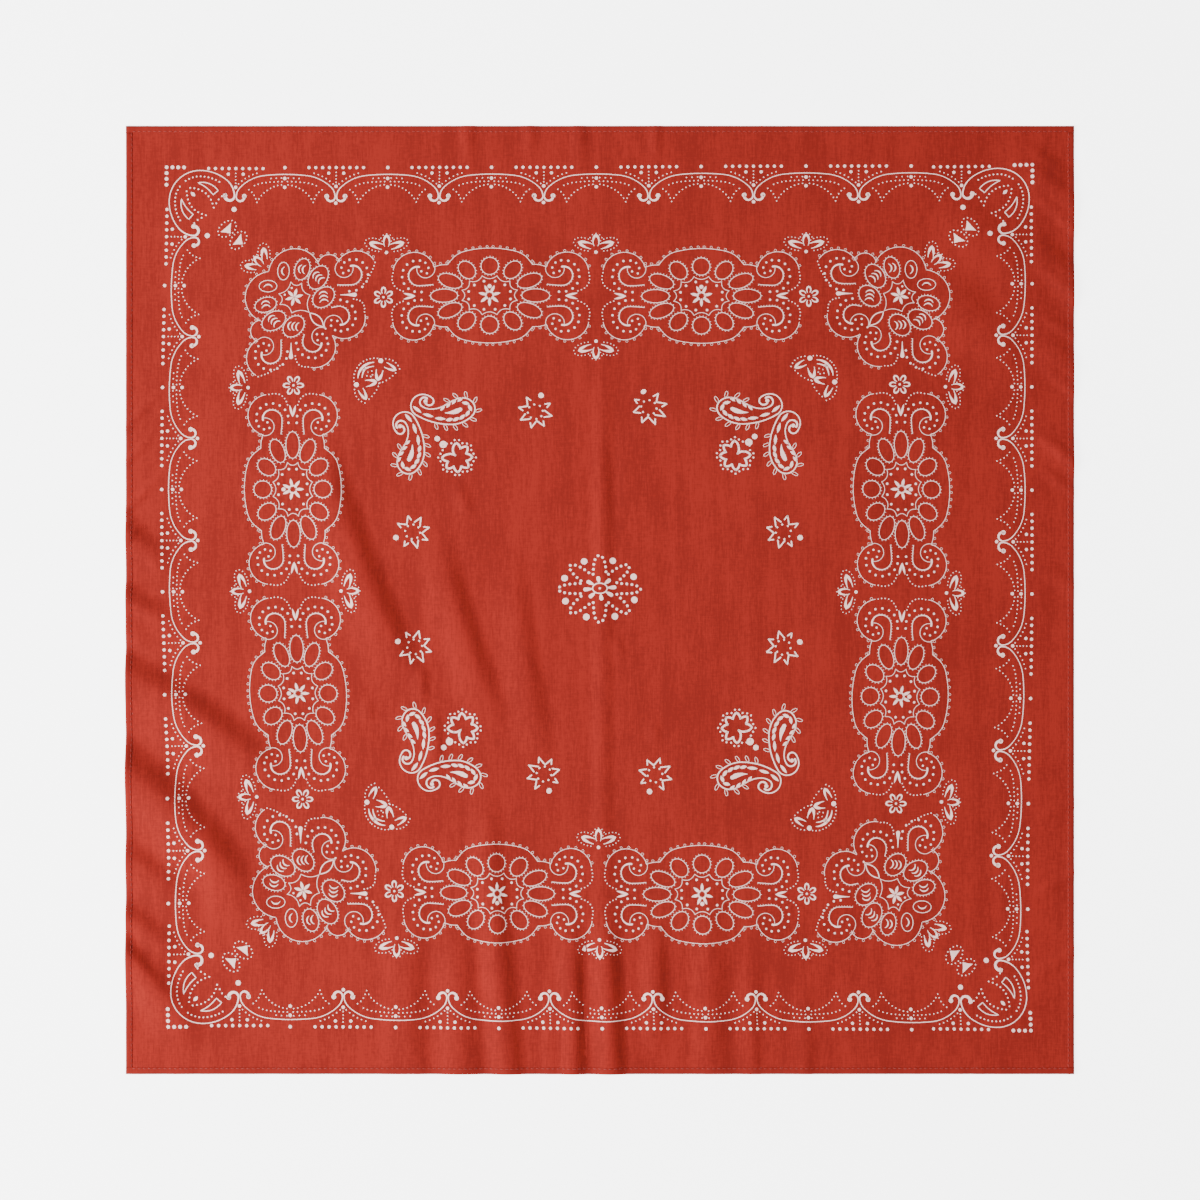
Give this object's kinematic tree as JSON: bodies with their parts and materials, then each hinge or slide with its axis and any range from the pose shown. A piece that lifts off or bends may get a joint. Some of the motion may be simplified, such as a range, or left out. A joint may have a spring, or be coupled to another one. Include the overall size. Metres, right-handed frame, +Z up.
{
  "type": "bandana",
  "caption": "Square printed cotton bandana laid flat and lightly creased, with narrow turned and sewn hems, to wear, tie or cover with.",
  "frame": {"origin": "centre of the bounding box on the surface that the cloth lies on", "axes": "+X to the right edge seen from above, +Y to the top edge, +Z up out of the printed face"},
  "size_m": [0.55, 0.55, 0.0067],
  "materials": {
    "cloth": "matt brick red plain-weave cotton, slightly slubbed",
    "hem": "the same cotton, turned twice and pressed",
    "print": "warm white printed on the cotton, matt, with the weave showing through",
    "thread": "fine cotton sewing thread in the cloth's red"
  },
  "bodies": {
    "root": {"cloth_panel": "cloth", "hem_top": "hem", "hem_bottom": "hem", "hem_left": "hem", "hem_right": "hem"}
  },
  "joints": []
}
